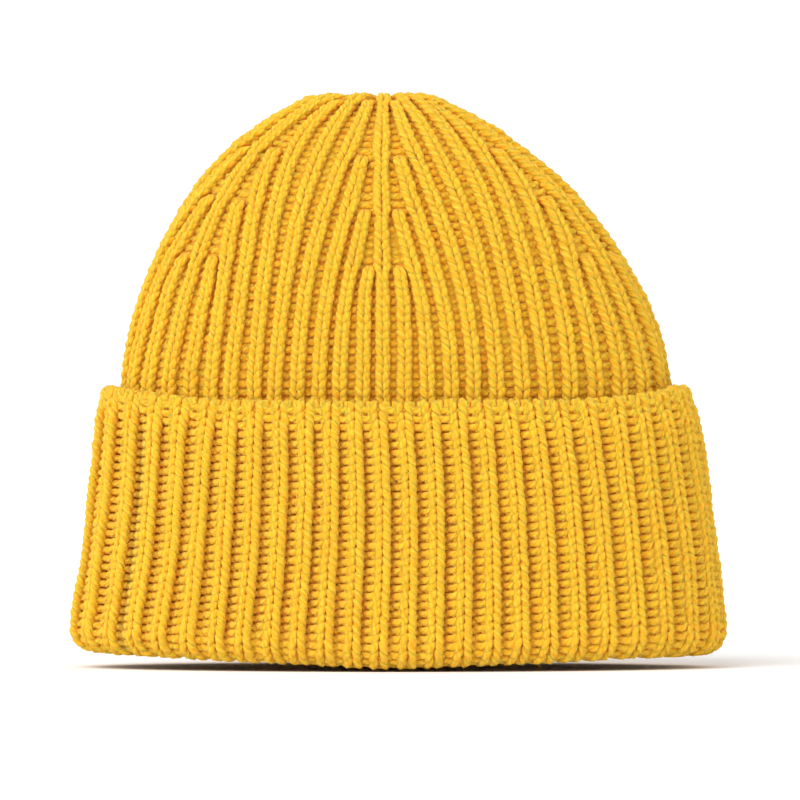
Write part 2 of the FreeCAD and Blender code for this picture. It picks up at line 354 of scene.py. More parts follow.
def on_fabric(turn, row, aside, out):
    """Points beside a line on the fabric's middle and off it on the right side, both in mm."""
    across, speed = run_across(turn, row)
    turn = turn + aside / speed
    return middle(turn, row) + right_side(across, turn, row) * np.broadcast_to(out, turn.shape)[:, None]


# ---------------------------------------------------------------- where each rib runs
RIBS = 48
SIDE_SPREAD = 0.10  # share of extra room that ribs have at the hat's sides, and lack at front and back
CROWN_CLOSING, CUFF_CLOSING = 0.11, 0.08  # share that they lack besides at the front, and have at the back
CROWN_CLOSEST, CUFF_CLOSEST = -15, -7  # degrees from the front, where the ribs lie closest
CROWN_CENTRE, CUFF_CENTRE = -2.7, -0.6  # degrees from the front, where the centre rib lies
COUNT_STEPS = 1440  # steps round the hat in which ribs are counted
CROWN_SPACED = DOME_ROW - 8  # row from which the crown's own spacing holds
DECREASE_LINES = (-10, 0, 11, 24)  # ribs from the centre front
DECREASE_ROWS = (13, 20, 27, 36)  # rows above the dome's foot
DECREASE_BLUR = (1.0, 3.0, 5.0)  # rows over which the next ribs move across
DEPTH_BLUR = 2.0  # and over which their place in that order changes
FADE = 1.6  # rows over which a rib's room closes
PATCH, PATCH_ROWS = 0.55, 5.0  # share of a rib's room that stays open above its end, and for how long
WANDER, WANDER_ROWS, WANDER_SEED = 0.035, 5.0, 5  # how far a rib wanders sideways, in ribs


def make_turns(half_width, half_depth, closing, closest, centre):
    """A function from a rib's number, counted from the centre front, to its turn round the hat."""
    turns = np.radians(np.linspace(-180, 180, COUNT_STEPS + 1))
    beside = turns - math.radians(closest)
    room = 1 - SIDE_SPREAD * np.cos(2 * beside) - closing * np.cos(beside)
    step = np.hypot(half_width * np.cos(turns), half_depth * np.sin(turns)) / room
    count = np.r_[0, np.cumsum((step[1:] + step[:-1]) / 2 * np.diff(turns))]
    count *= RIBS / count[-1]
    count -= np.interp(math.radians(centre), turns, count)
    turns = np.r_[turns[:-1] - 2 * np.pi, turns[:-1], turns + 2 * np.pi]
    count = np.r_[count[:-1] - RIBS, count[:-1], count + RIBS]
    return lambda number: np.interp(number, count, turns)


CROWN_TURN = make_turns(DOME_A, DOME_B, CROWN_CLOSING, CROWN_CLOSEST, CROWN_CENTRE)
CUFF_TURN = make_turns((EDGE_A + HEM_A) / 2, (EDGE_B + HEM_B) / 2, CUFF_CLOSING, CUFF_CLOSEST, CUFF_CENTRE)


def turn_of(number, row):
    """The turn of a rib on a row: the cuff's ribs are spaced their own way, and the band eases between."""
    share = ramp_up(row, KNEE_ROW, CROWN_SPACED - KNEE_ROW)
    return lerp(CUFF_TURN(number), CROWN_TURN(number), ease(share))


def smooth_rows(values, rows):
    """Columns blurred along their length by that many rows, out to four times as many."""
    reach = int(4 * rows) + 1
    kernel = np.exp(-0.5 * (np.arange(-reach, reach + 1) / rows) ** 2)
    padded = np.concatenate([values[:1].repeat(reach, 0), values, values[-1:].repeat(reach, 0)])
    columns = [np.convolve(padded[:, k], kernel / kernel.sum(), "valid") for k in range(values.shape[1])]
    return np.stack(columns, 1)


def make_ribs():
    """Where every rib lies on every row, in ribs from the centre front, and each rib's last row."""
    rows = np.arange(LAST_ROW + 1, dtype=float)
    last = np.full(RIBS, float(LAST_ROW))
    for line in DECREASE_LINES:
        for apart, row in enumerate(DECREASE_ROWS, start=1):
            for side in (-1, 1):
                last[(line + side * apart) % RIBS] = DOME_ROW + row
    left = ease(np.clip((last[None, :] - rows[:, None]) / FADE + 0.5, 0, 1))
    left = np.maximum(left, PATCH * np.clip(1 - (rows[:, None] - last[None, :]) / PATCH_ROWS, 0, 1))
    left[:, last == LAST_ROW] = 1.0
    number = np.empty((len(rows), RIBS))
    lines = [*DECREASE_LINES, DECREASE_LINES[0] + RIBS]
    for low, high in zip(lines, lines[1:]):
        ribs = np.arange(low, high + 1)
        weight = left[:, ribs % RIBS]
        gaps = (weight[:, 1:] + weight[:, :-1]) / 2
        place = np.concatenate([np.zeros((len(rows), 1)), gaps.cumsum(1)], 1)
        place = low + (high - low) * place / place[:, -1:]
        # a rib beside a line moves over within a row or so, and the ribs further off take longer
        near, next_on, beyond = (smooth_rows(place, blur) for blur in DECREASE_BLUR)
        depth = np.minimum(weight.cumsum(1), weight[:, ::-1].cumsum(1)[:, ::-1]) - 0.5
        far = np.clip(smooth_rows(depth, DEPTH_BLUR) - 1, 0, 2)
        chosen = lerp(near, next_on, np.clip(far, 0, 1))
        chosen = np.where(far < 1, chosen, lerp(next_on, beyond, np.clip(far - 1, 0, 1)))
        chosen[:, 0], chosen[:, -1] = low, high
        number[:, ribs[:-1] % RIBS] = chosen[:, :-1]
    wander = smooth_rows(np.random.default_rng(WANDER_SEED).normal(0, 1, number.shape), WANDER_ROWS)
    number += WANDER * wander / wander.std()
    return number, last


RIB_NUMBER, RIB_LAST = make_ribs()


def rib_numbers(ribs, row):
    """The numbers of the given ribs at a list of rows, with a line for each rib."""
    place = np.clip(row, 0, LAST_ROW)
    low = np.minimum(place.astype(int), LAST_ROW - 1)
    here = RIB_NUMBER[low[None, :], ribs[:, None]] * (1 - (place - low))
    return here + RIB_NUMBER[low[None, :] + 1, ribs[:, None]] * (place - low)


# ---------------------------------------------------------------- the yarn's path through one stitch
YARN = 1.42  # its radius
RISE = 1.15  # how far a knit stitch stands off the middle of the fabric, and a purl stitch behind it
PITCH = 8.9  # the room of a rib that the stitch is drawn for
WIDEST, WIDEST_PURL = 1.12, 1.5  # how far it stretches in more room, and a purl stitch above the knee
# half of a knit stitch, from its head to the gap beside its feet: across in mm, rows, out in mm
HALF = np.array(
    [
        (0.0, 1.45, -0.9),
        (1.2, 1.43, -0.75),
        (2.1, 1.15, 0.0),
        (2.15, 0.75, 0.9),
        (1.62, 0.30, 1.25),
        (1.12, -0.08, 0.75),
        (1.25, -0.38, -0.5),
    ]
)
FEET_ROW = -0.45  # where the yarn crosses from one stitch to the next
UNEVEN = (0.13, 0.04, 0.10)  # how much stitches differ: across in mm, rows, out in mm
TIP_SPEED = 4.0  # the least length of a radian's turn, in mm, that is reckoned with near the tip


def make_stitches():
    """One rib's worth of yarn: each stitch or gap, its path, and its place on the way to the next rib."""
    mirrored = HALF[::-1] * (-1, 1, 1)
    whole = np.concatenate([mirrored[:-1], HALF])
    knit = whole + (0, 0, RISE)
    purl = whole * (1, 1, -1) - (0, 0, RISE)
    gap = np.array([(0.0, FEET_ROW, 0.0)])
    return ("knit", knit, 0.0), ("gap", gap, 0.25), ("purl", purl, 0.5), ("gap", gap, 0.75)


STITCHES = make_stitches()
# the ribs flatten towards the cast-on edge
RAISE_START, RAISE_ROWS = -0.5, 3.5  # the row from which they come up to full height, and over how many
EDGE_BACK = {"knit": 1.25, "purl": -0.85, "gap": 0}  # how far each lies back there, in shares of RISE
EDGE_WIDTH = {"knit": 0.9, "purl": 1.1, "gap": 0.9}  # and how wide it is
EDGE_FLAT, CURL_FLAT = 0.6, 0.6  # and how thick, and how much of that is left before row 0
# on the cuff each rib leans over the groove at its right
CREST_ROLL, GROOVE_ROLL, CREST_NARROW = 0.12, 0.85, 0.28
GROOVE_SHIFT, GROOVE_LIFT, GAP_STEP = 0.75, 0.75, 0.8  # mm
GROOVE_FULL, GROOVE_LESS, GROOVE_LEAST = 1.4, 0.45, 0.3  # the groove's roll is less further in
CUFF_LEAN_END, CUFF_LEAN_FADE = HEM_ROW + 2, 3.0
CROWN_NARROW, CROWN_NARROW_ROWS = 0.22, 6  # from the band on, a rib's two legs lie this much closer
# round the bottom of the hem the ribs flatten
HEM_SOFT, HEM_LOW_ROW, HEM_REACH = 0.9, 32.0, 2.3
# gentle unevenness of the whole fabric: mm, rows, and waves round the hat
SWELL, SWELL_ROWS, SWELL_TURNS, SWELL_SEED = 0.7, 6.0, (5, 8, 11), 3
SWELL_HEM, SWELL_HEM_REACH = 0.5, 3  # how much less there is of it round the hem


def swell(turn, row):
    """Gentle unevenness of the fabric, the same for neighbouring stitches."""
    phases = np.random.default_rng(SWELL_SEED).uniform(0, 2 * np.pi, 2 * len(SWELL_TURNS))
    total = np.zeros_like(row)
    for k, waves in enumerate(SWELL_TURNS):
        round_hat = np.sin(turn * waves + phases[k])
        total += round_hat * np.cos(row / SWELL_ROWS * (k + 1) + phases[k + len(SWELL_TURNS)])
    total = total * SWELL / len(SWELL_TURNS)
    return total * (1 - SWELL_HEM * bell(row, HEM_LOW_ROW, SWELL_HEM_REACH))


def course(row):
    """The closed path of one course of yarn."""
    alive = np.flatnonzero(RIB_LAST >= row)
    alive = alive[np.argsort(RIB_NUMBER[max(int(row), 0), alive])]
    raised = ease(ramp_up(row, RAISE_START, RAISE_ROWS))
    cuff = ramp_down(row, CUFF_LEAN_END, CUFF_LEAN_FADE) * raised
    blocks = []
    for kind, shape, share in STITCHES:
        here = rib_numbers(alive, row + shape[:, 1])
        after, before = np.roll(here, -1, 0), np.roll(here, 1, 0)
        after[-1] += RIBS
        before[0] -= RIBS
        centre, room = lerp(here, after, share), after - here
        if kind == "knit":
            centre, room = here, (after - before) / 2
        elif kind == "purl":
            centre = (here + after) / 2
        turn = turn_of(centre, row)
        step = turn_of(centre + 0.5 * room, row) - turn_of(centre - 0.5 * room, row)
        y = np.broadcast_to(row + shape[:, 1], turn.shape)
        speed = np.maximum(run_across(turn, y)[1], TIP_SPEED)
        widest = WIDEST_PURL if kind == "purl" and row > BAND_ROW else WIDEST
        x = shape[:, 0][None, :] * np.minimum(speed * step / PITCH, widest)
        n = shape[:, 2][None, :] - (1 - raised) * RISE * EDGE_BACK[kind]
        x = x * lerp(EDGE_WIDTH[kind], 1, raised)
        n = n * lerp(EDGE_FLAT, 1, raised)
        if row < 0:
            n = n * CURL_FLAT
        jitter = rng.normal(0, 1, (len(alive), 3))
        if kind == "gap":
            side = -1 if share < 0.5 else 1
            n = n + side * cuff * GAP_STEP
        else:
            x, y, n = (v + jitter[:, k : k + 1] * UNEVEN[k] for k, v in enumerate((x, y, n)))
        if kind == "knit":
            x = x * (1 - CROWN_NARROW * ramp_up(row, KNEE_ROW, CROWN_NARROW_ROWS))
            weight = np.clip(GROOVE_FULL - GROOVE_LESS * n, GROOVE_LEAST, 1)
            n = n - cuff * (GROOVE_ROLL * x + GROOVE_LIFT) * weight
            x = x + cuff * GROOVE_SHIFT
        elif kind == "purl":
            x = x * (1 - cuff * CREST_NARROW)
            n = n - cuff * CREST_ROLL * x
        n = n * (1 - HEM_SOFT * bell(row, HEM_LOW_ROW, HEM_REACH))
        blocks.append(np.broadcast_arrays(turn + x / speed, y, n))
    turn, y, n = (np.concatenate(values, 1).ravel() for values in zip(*blocks))
    normal = right_side(run_across(turn, y)[0], turn, y)
    return middle(turn, y) + normal * (n + swell(turn, y))[:, None]


# ---------------------------------------------------------------- tubes and meshes
SIDES = 6  # of a tube
START_SIDE = (0.3, 0.2, 0.9)  # a direction in which no tube starts


def sweep(path, radius, closed=True):
    """A round tube along a path: corners, faces, distance along it, and cosine and sine of the turn."""
    count = len(path)
    lengths = np.linalg.norm(np.roll(path, -1, 0) - path, axis=1)
    tangent = np.roll(path, -1, 0) - np.roll(path, 1, 0) if closed else np.gradient(path, axis=0)
    tangent /= np.linalg.norm(tangent, axis=1, keepdims=True)
    side = np.empty_like(path)
    first = np.cross(tangent[0], START_SIDE)
    side[0] = first / np.linalg.norm(first)
    for k in range(1, count):
        v = side[k - 1] - tangent[k] * np.dot(side[k - 1], tangent[k])
        side[k] = v / math.sqrt(np.dot(v, v))
    # what is left between the last side and the first is shared out along the tube
    last = side[-1] - tangent[0] * np.dot(side[-1], tangent[0])
    other = np.cross(tangent[0], side[0])
    twist = math.atan2(np.dot(last, other), np.dot(last, side[0])) if closed else 0.0
    angle = -twist * np.arange(count) / count
    other = np.cross(tangent, side)
    c, s = np.cos(angle)[:, None], np.sin(angle)[:, None]
    side, other = side * c + other * s, other * c - side * s
    around = np.arange(SIDES) * 2 * np.pi / SIDES
    turn_cos, turn_sin = np.cos(around), np.sin(around)
    ring = side[:, None, :] * turn_cos[None, :, None] + other[:, None, :] * turn_sin[None, :, None]
    corners = path[:, None, :] + ring * radius[:, None, None]
    along = np.r_[0, lengths.cumsum()[:-1]]
    index = np.arange(count * SIDES).reshape(count, SIDES)
    after = np.roll(index, -1, 0)
    faces = np.stack([index, np.roll(index, -1, 1), np.roll(after, -1, 1), after], -1)
    faces = (faces if closed else faces[:-1]).reshape(-1, 4)
    turned = (np.tile(turn_cos, count), np.tile(turn_sin, count))
    return corners.reshape(-1, 3), faces, np.repeat(along, SIDES), *turned


def make_mesh(name, tubes, material):
    """One piece of many tubes or sheets. Each brings corners, faces and three values for each corner."""
    corners, faces, *values = zip(*tubes)
    bases = np.cumsum([0] + [len(part) for part in corners])
    corners = np.concatenate(corners) * MM
    faces = np.concatenate([part + base for part, base in zip(faces, bases)])
    mesh = bpy.data.meshes.new(name)
    mesh.vertices.add(len(corners))
    mesh.vertices.foreach_set("co", corners.astype(np.float32).ravel())
    mesh.loops.add(faces.size)
    mesh.loops.foreach_set("vertex_index", faces.astype(np.int32).ravel())
    mesh.polygons.add(len(faces))
    mesh.polygons.foreach_set("loop_start", (np.arange(len(faces)) * 4).astype(np.int32))
    mesh.polygons.foreach_set("use_smooth", np.ones(len(faces), bool))
    mesh.update(calc_edges=True)
    for key, parts in zip(("along", "turn_cos", "turn_sin"), values):
        layer = mesh.attributes.new(key, "FLOAT", "POINT")
        layer.data.foreach_set("value", np.concatenate(parts).astype(np.float32))
    mesh.materials.append(material)
    piece = bpy.data.objects.new(name, mesh)
    bpy.context.scene.collection.objects.link(piece)
    return piece


# ---------------------------------------------------------------- the yarn's look
WOOL_COLOUR = (0.975, 0.575, 0.026)
THREAD_COLOUR = (0.86, 0.45, 0.02)
DARK_TONE_AND_SHADE, LIGHT_TONE_AND_HIGHLIGHT = (0.97, 0.68, 0.3), (1.06, 1.13, 1.3)  # shades of the colour for the tone's two ends: partly the wool's own uneven tone, and partly painted shade between fibres and plies at the dark end and a painted highlight on the fibres at the light end
BRIGHTEST = 0.99
TONE_LOW, TONE_HIGH = 0.45, 0.80
PLY_GROOVE_SHADE, PATCH_TONE = 0.15, 0.10  # shares of the plies and the patches in the tone, beside the fibres; the plies' share is painted shade in the grooves between them
PLIES = 3
TWIST = 2 * math.pi / 8.0  # radians for each millimetre of yarn
FIBRE_DRIFT = 0.14  # how far the fibres' pattern moves on for each millimetre of yarn
FIBRE_NOISE = {"Scale": 2.6, "Detail": 3.0, "Roughness": 0.75}
PATCH_NOISE = {"Scale": 140.0, "Detail": 2.0, "Roughness": 0.6}
FIBRE_BUMP, WOOL_BUMP = 1.5, (0.9, 0.0007)  # the fibres' share beside the plies; strength and metres
WOOL_ROUGHNESS, FIBRE_ROUGHNESS = 0.78, 0.15
WOOL_LOOK = {
    "Specular IOR Level": 0.05,
    "Subsurface Weight": 0.4,
    "Subsurface Radius": (1.0, 0.4, 0.05),
    "Subsurface Scale": 0.0018,
    "Sheen Weight": 0.25,
    "Sheen Roughness": 0.6,
    "Sheen Tint": (1.0, 0.85, 0.45, 1.0),
}
# painted shade in the wool's colour: ambient occlusion finds the hollows, and there the colour is multiplied
# by a darker orange
HOLLOW_REACH, HOLLOW_SAMPLES = 0.003, 4  # metres that a hollow is looked for, and with how many rays
HOLLOW_RANGE = (0.75, 0.25, 0.0, 1.0)  # openness with none and all of the painted shade, and these two shares
HOLLOW_SHADE_TINT = (1.0, 0.7, 0.2)


def painted_hollow_shade(tree, colour):
    """Painted shade: where the wool lies in a hollow its colour is made a deeper, darker orange, as light
    that reaches a hollow has met more wool on its way.
    """
    settings = {"samples": HOLLOW_SAMPLES, "only_local": True}
    sky = add_node(tree, "ShaderNodeAmbientOcclusion", Distance=HOLLOW_REACH, **settings)
    hollow = map_range(tree, sky.outputs["AO"], HOLLOW_RANGE)
    painted_shade = add_node(tree, "ShaderNodeMix", data_type="RGBA", blend_type="MULTIPLY")
    factor, base, tint = (painted_shade.inputs[i] for i in (0, 6, 7))
    tint.default_value = (*HOLLOW_SHADE_TINT, 1.0)
    tree.links.new(hollow, factor)
    tree.links.new(colour, base)
    return painted_shade.outputs[2]


def wool_material(name, colour):
    """Yarn: plies that wind round it with painted shade between them, fibres that lie along them, partly
    their own tone and partly painted shade and highlight, patches of a slightly other tone, and painted
    shade in hollows.
    """
    material, tree, shader = new_material(name)
    along = attribute(tree, "along")
    turn = math_node(tree, "ARCTAN2", attribute(tree, "turn_sin"), attribute(tree, "turn_cos"))
    wound = math_node(tree, "MULTIPLY_ADD", along, TWIST, turn)
    ply = math_node(tree, "SINE", math_node(tree, "MULTIPLY", wound, float(PLIES)))
    ply = math_node(tree, "MULTIPLY_ADD", ply, 0.5, 0.5)
    strand = tree.nodes.new("ShaderNodeCombineXYZ")
    tree.links.new(math_node(tree, "COSINE", wound), strand.inputs[0])
    tree.links.new(math_node(tree, "SINE", wound), strand.inputs[1])
    tree.links.new(math_node(tree, "MULTIPLY", along, FIBRE_DRIFT), strand.inputs[2])
    fibres = noise(tree, strand.outputs[0], **FIBRE_NOISE)
    patches = noise(tree, place_in(tree, "Object"), **PATCH_NOISE)

    # the tone runs low, so the colour dark, as painted shade in the grooves between the plies and between
    # fibres, and high as a painted highlight on the fibres; the rest is the wool's own uneven tone
    tone = math_node(tree, "MULTIPLY_ADD", ply, PLY_GROOVE_SHADE, fibres)
    tone = math_node(tree, "MULTIPLY_ADD", patches, PATCH_TONE, tone)
    dark, light = ([min(c * s, BRIGHTEST) for c, s in zip(colour, shade)] for shade in (DARK_TONE_AND_SHADE, LIGHT_TONE_AND_HIGHLIGHT))
    toned = colour_ramp(tree, tone, (TONE_LOW, dark), (TONE_HIGH, light))
    # the base colour carries painted shade in the hollows
    tree.links.new(painted_hollow_shade(tree, toned), shader.inputs["Base Color"])
    rough = math_node(tree, "MULTIPLY_ADD", fibres, FIBRE_ROUGHNESS, WOOL_ROUGHNESS)
    tree.links.new(rough, shader.inputs["Roughness"])
    set_inputs(shader, WOOL_LOOK)
    add_bump(tree, math_node(tree, "MULTIPLY_ADD", fibres, FIBRE_BUMP, ply), *WOOL_BUMP)
    return material


# ---------------------------------------------------------------- the knitting
YARN_UNEVEN, YARN_BLUR = 0.05, np.ones(5) / 2.2  # how much the yarn's thickness changes, and how fast
WEB_STEPS, WEB_ROW_STEP = 384, 0.5  # the web's fineness
WEB_TOP = LAST_ROW - 3
WEB_EDGE_OFF, WEB_OFF = -0.5, 0.4  # how far in it lies at the edge and past it, in mm
WEB_EDGE_ROWS = 4  # rows between the two
WEB_DEPTH, WEB_GROOVE, WEB_GROOVE_WIDTH = 2.0, 0.8, 0.13  # and how much deeper beside a cuff's rib
WEB_CUFF_END, WEB_CUFF_FADE = HEM_ROW + 1, 4
FUZZ = 0.9  # fibres for each step along the yarn
FIBRE = 0.035  # half a fibre's width
FIBRE_LENGTH = (0.7, 2.3)
FIBRE_STAND = (0.25, 0.9)  # how much it stands off the yarn
FIBRE_LIE, FIBRE_STRAY = 0.7, 0.6  # how much it lies along the yarn, and any other way
FIBRE_BEND, FIBRE_DROOP = 0.55, 0.25  # how its outer half turns off, and back to the yarn
FIBRE_ROOT, FIBRE_TIP = 0.1, 0.4  # mm that it starts inside the yarn, and its end's share of the width


def web(first, last):
    """The matted inner halo of the wool, a soft sheet that closes the gaps between the stitches."""
    rows = np.arange(max(first, 0), min(last, WEB_TOP) + WEB_ROW_STEP / 2, WEB_ROW_STEP)
    number, row = (grid.ravel() for grid in np.meshgrid(np.arange(WEB_STEPS) * RIBS / WEB_STEPS, rows))
    turn = turn_of(number, row)
    groove = bell(number % 1, WEB_GROOVE, WEB_GROOVE_WIDTH)
    depth = lerp(WEB_EDGE_OFF, WEB_OFF + WEB_DEPTH * groove, ramp_up(row, 0, WEB_EDGE_ROWS))
    corners = on_fabric(turn, row, 0.0, depth * ramp_down(row, WEB_CUFF_END, WEB_CUFF_FADE))
    index = np.arange(len(corners)).reshape(len(rows), WEB_STEPS)
    after = np.roll(index, -1, 1)
    faces = np.stack([index[:-1], after[:-1], after[1:], index[1:]], -1).reshape(-1, 4)
    return corners, faces, row * ROW_HEIGHT, np.cos(turn * RIBS), np.sin(turn * RIBS)


def unit(vectors):
    return vectors / np.linalg.norm(vectors, axis=1, keepdims=True)


def loose_fuzz(tubes):
    """Fine fibres that stand off the yarn, each a narrow ribbon of two quads."""
    picked = []
    for corners, *_ in tubes:
        rings = corners.reshape(-1, SIDES, 3)
        ring, side = np.divmod(rng.integers(0, len(corners), int(len(rings) * FUZZ)), SIDES)
        centre = rings.mean(1)
        start = rings[ring, side]
        forward = centre[(ring + 1) % len(rings)] - centre[ring]
        picked.append((start, unit(start - centre[ring]), unit(forward)))
    start, out, forward = (np.concatenate(parts) for parts in zip(*picked))
    count = len(start)
    slant = forward * rng.choice((-1.0, 1.0), (count, 1)) + rng.normal(0, FIBRE_STRAY, (count, 3))
    length = rng.uniform(*FIBRE_LENGTH, (count, 1))
    first = unit(out * rng.uniform(*FIBRE_STAND, (count, 1)) + slant * FIBRE_LIE)
    second = unit(first + rng.normal(0, FIBRE_BEND, (count, 3)) - out * FIBRE_DROOP)
    bend = start + first * length * 0.5
    end = bend + second * length * 0.5
    wide = np.cross(first, rng.normal(0, 1, (count, 3)))
    wide *= FIBRE / np.linalg.norm(wide, axis=1, keepdims=True)
    tip = wide * FIBRE_TIP
    root = start - out * FIBRE_ROOT
    corners = np.stack([root - wide, root + wide, bend - wide, bend + wide, end - tip, end + tip], 1)
    base = np.arange(count)[:, None] * 6
    faces = np.concatenate([base + np.array([[0, 1, 3, 2]]), base + np.array([[2, 3, 5, 4]])])
    corners = corners.reshape(-1, 3)
    zero = np.zeros(len(corners))
    return corners, faces, zero, zero + 1, zero


def knit_tubes(first, last):
    """The courses from one row up to another, with their fuzz and their web."""
    tubes = []
    for row in range(first, last):
        path = course(float(row))
        thickness = np.convolve(rng.normal(0, 1, len(path)), YARN_BLUR, "same")
        tubes.append(sweep(path, YARN * (1 + YARN_UNEVEN * thickness)))
    return [*tubes, loose_fuzz(tubes), web(first, last)]


make_camera()
make_studio()
wool = wool_material("wool", WOOL_COLOUR)

EDGE_ROWS = 3
CROWN_ROW = 60  # the first course of the crown's piece, hidden behind the cuff
KNITS = (
    ("cuff_edge_knit", -1, EDGE_ROWS),
    ("cuff_knit", EDGE_ROWS, HEM_ROW),
    ("fold_knit", HEM_ROW, KNEE_ROW),
    ("band_knit", KNEE_ROW, CROWN_ROW),
    ("crown_knit", CROWN_ROW, LAST_ROW - 1),
)
knits = {name: make_mesh(name, knit_tubes(first, last), wool) for name, first, last in KNITS}

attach(knits["cuff_edge_knit"], "cuff")
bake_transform(knits["cuff_knit"])
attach(knits["fold_knit"], "fold")
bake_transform(knits["band_knit"])
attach(knits["crown_knit"], "crown")
for piece, node_name in (
    ("cuff_edge_knit", "cuff_edge"),
    ("cuff_knit", "cuff"),
    ("fold_knit", "fold"),
    ("band_knit", "band"),
    ("crown_knit", "crown"),
):
    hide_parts(node_name)

# ---------------------------------------------------------------- closing yarn, seams and label
LOOP_YARN, LOOP_RADIUS, LOOP_Z = 1.25, 5.6, 202.4
LOOP_WAVES, LOOP_OUT, LOOP_UP = 8, 0.35, 0.5  # it goes over and under this often, and how far
TIP_STEPS, LOOP_STEPS, KNOT_STEPS, TAIL_STEPS = 32, 144, 96, 24
KNOT_YARN, KNOT_Z, KNOT_SIZE, KNOT_DEPTH = 0.8, 196.6, 0.6, 1.6
TAIL_YARN, TAIL_TOP, TAIL_LENGTH = 0.9, 1.2, 6.4
STEM, STEM_POWER = 5.4, 1.5  # from the knot to the loop, both across and up
STEM_SWAY, TAIL_SWAY = (0.6, 3), (0.9, 2.5, 0.6, 4)  # mm, and the angle in radians that it goes through
END_RADIUS = 0.05  # strands taper to this at both ends

SEAM_OFF = 4.7  # from the fabric's middle to the seam's, on the inside
CUFF_SEAM_OFF = 4.2  # and on the cuff, on the side that faces the band
SEAM_TOP = 190.0
SEAM_START = KNEE_ROW + 0.5
CUFF_SEAM_START, CUFF_SEAM_END = 3.5, 27.5  # rows
SEAM_ROW_STEP = 0.08
RIDGE, CUFF_RIDGE = 0.75, 0.5  # radius of each of a seam's two edges
RIDGE_ASIDE, RIDGE_WAVE = 0.8, 0.12  # how far it lies to its side, and how far it sways
THREAD, THREAD_ASIDE, THREAD_OVER = 0.34, 1.75, 0.15  # its radius, and how it goes round the ridges

LABEL_WIDTH, LABEL_LENGTH, LABEL_TOP, LABEL_Y = 16.0, 28.0, 84.0, 37.5
RIBBON, LABEL_GAP = 0.16, 0.32  # the ribbon's thickness, and half the space inside its fold
LABEL_HANG, LABEL_CUP = 1.1, 0.35  # how far its end and its sides bend away
LABEL_STEPS, FOLD_STEPS, CROSS_STEPS = 24, 8, 16
TACKS, TACK_SPAN, TACK_STEPS = 7, 13.2, 8
TACK_THREAD, TACK_OUT, TACK_BOW = 0.22, 0.9, 0.2
TACK_DROP, TACK_RISE = 0.6, 1.3
WEAVE = 0.45  # mm from one thread of the ribbon to the one after the next
WEAVE_BUMP = (0.6, 0.00012)  # strength and metres
RIBBON_NOISE_SCALE = 220.0
RIBBON_DARK, RIBBON_LIGHT = (0.72, 0.69, 0.62), (0.86, 0.84, 0.78)
RIBBON_LOOK = {"Roughness": 0.5, "Sheen Weight": 0.2}


def tapered(count, radius):
    sizes = np.full(count, float(radius))
    sizes[[0, -1]] = END_RADIUS
    return sizes


def full_turn(steps):
    return np.linspace(0, 2 * np.pi, steps + 1)[:-1]


# how far the crown's lean carries its tip
TIP_X = float(middle(full_turn(TIP_STEPS), np.full(TIP_STEPS, float(LAST_ROW)))[:, 0].mean())


def closing_loop():
    """The yarn end drawn through the last ribs, over one and under the next."""
    t = full_turn(LOOP_STEPS)
    radius = LOOP_RADIUS + LOOP_OUT * np.cos(LOOP_WAVES * t)
    z = LOOP_Z + LOOP_UP * np.sin(LOOP_WAVES * t)
    path = np.stack([TIP_X + radius * np.cos(t), radius * np.sin(t), z], 1)
    return [sweep(path, np.full(len(t), LOOP_YARN))]


def closing_knot():
    """An overhand knot under the loop, with the end that comes down to it and the end cut short."""
    t = full_turn(KNOT_STEPS)
    centre = np.array([TIP_X, 0.0, KNOT_Z])
    knot_x, knot_y = np.sin(t) + 2 * np.sin(2 * t), np.cos(t) - 2 * np.cos(2 * t)
    knot = np.stack([knot_x, knot_y, -KNOT_DEPTH * np.sin(3 * t)], 1)
    u = np.linspace(0, 1, TAIL_STEPS + 1)
    sway, angle = STEM_SWAY
    stem = np.stack([STEM * (1 - u) ** STEM_POWER, sway * np.sin(angle * u), STEM * (1 - u)], 1)
    sway_x, angle_x, sway_y, angle_y = TAIL_SWAY
    z = -TAIL_TOP - TAIL_LENGTH * u
    tail = np.stack([sway_x * np.sin(angle_x * u), sway_y * np.sin(angle_y * u), z], 1)
    return [
        sweep(centre + KNOT_SIZE * knot, np.full(len(t), KNOT_YARN)),
        sweep(centre + stem, tapered(len(u), TAIL_YARN), closed=False),
        sweep(centre + tail, tapered(len(u), TAIL_YARN), closed=False),
    ]


def seam(rows, off, ridge):
    """Two edges of fabric laid side by side at the centre back, and the thread whipped over them."""
    turn = np.full(len(rows), np.pi)
    phase = 2 * np.pi * rows
    side = 1 if off > 0 else -1
    tubes = []
    for aside in (-RIDGE_ASIDE, RIDGE_ASIDE):
        path = on_fabric(turn, rows, aside + RIDGE_WAVE * np.sin(phase), off)
        tubes.append(sweep(path, tapered(len(rows), ridge), closed=False))
    over = off + side * (ridge + THREAD_OVER) * np.sin(phase)
    path = on_fabric(turn, rows, THREAD_ASIDE * np.cos(phase), over)
    tubes.append(sweep(path, tapered(len(rows), THREAD), closed=False))
    return tubes


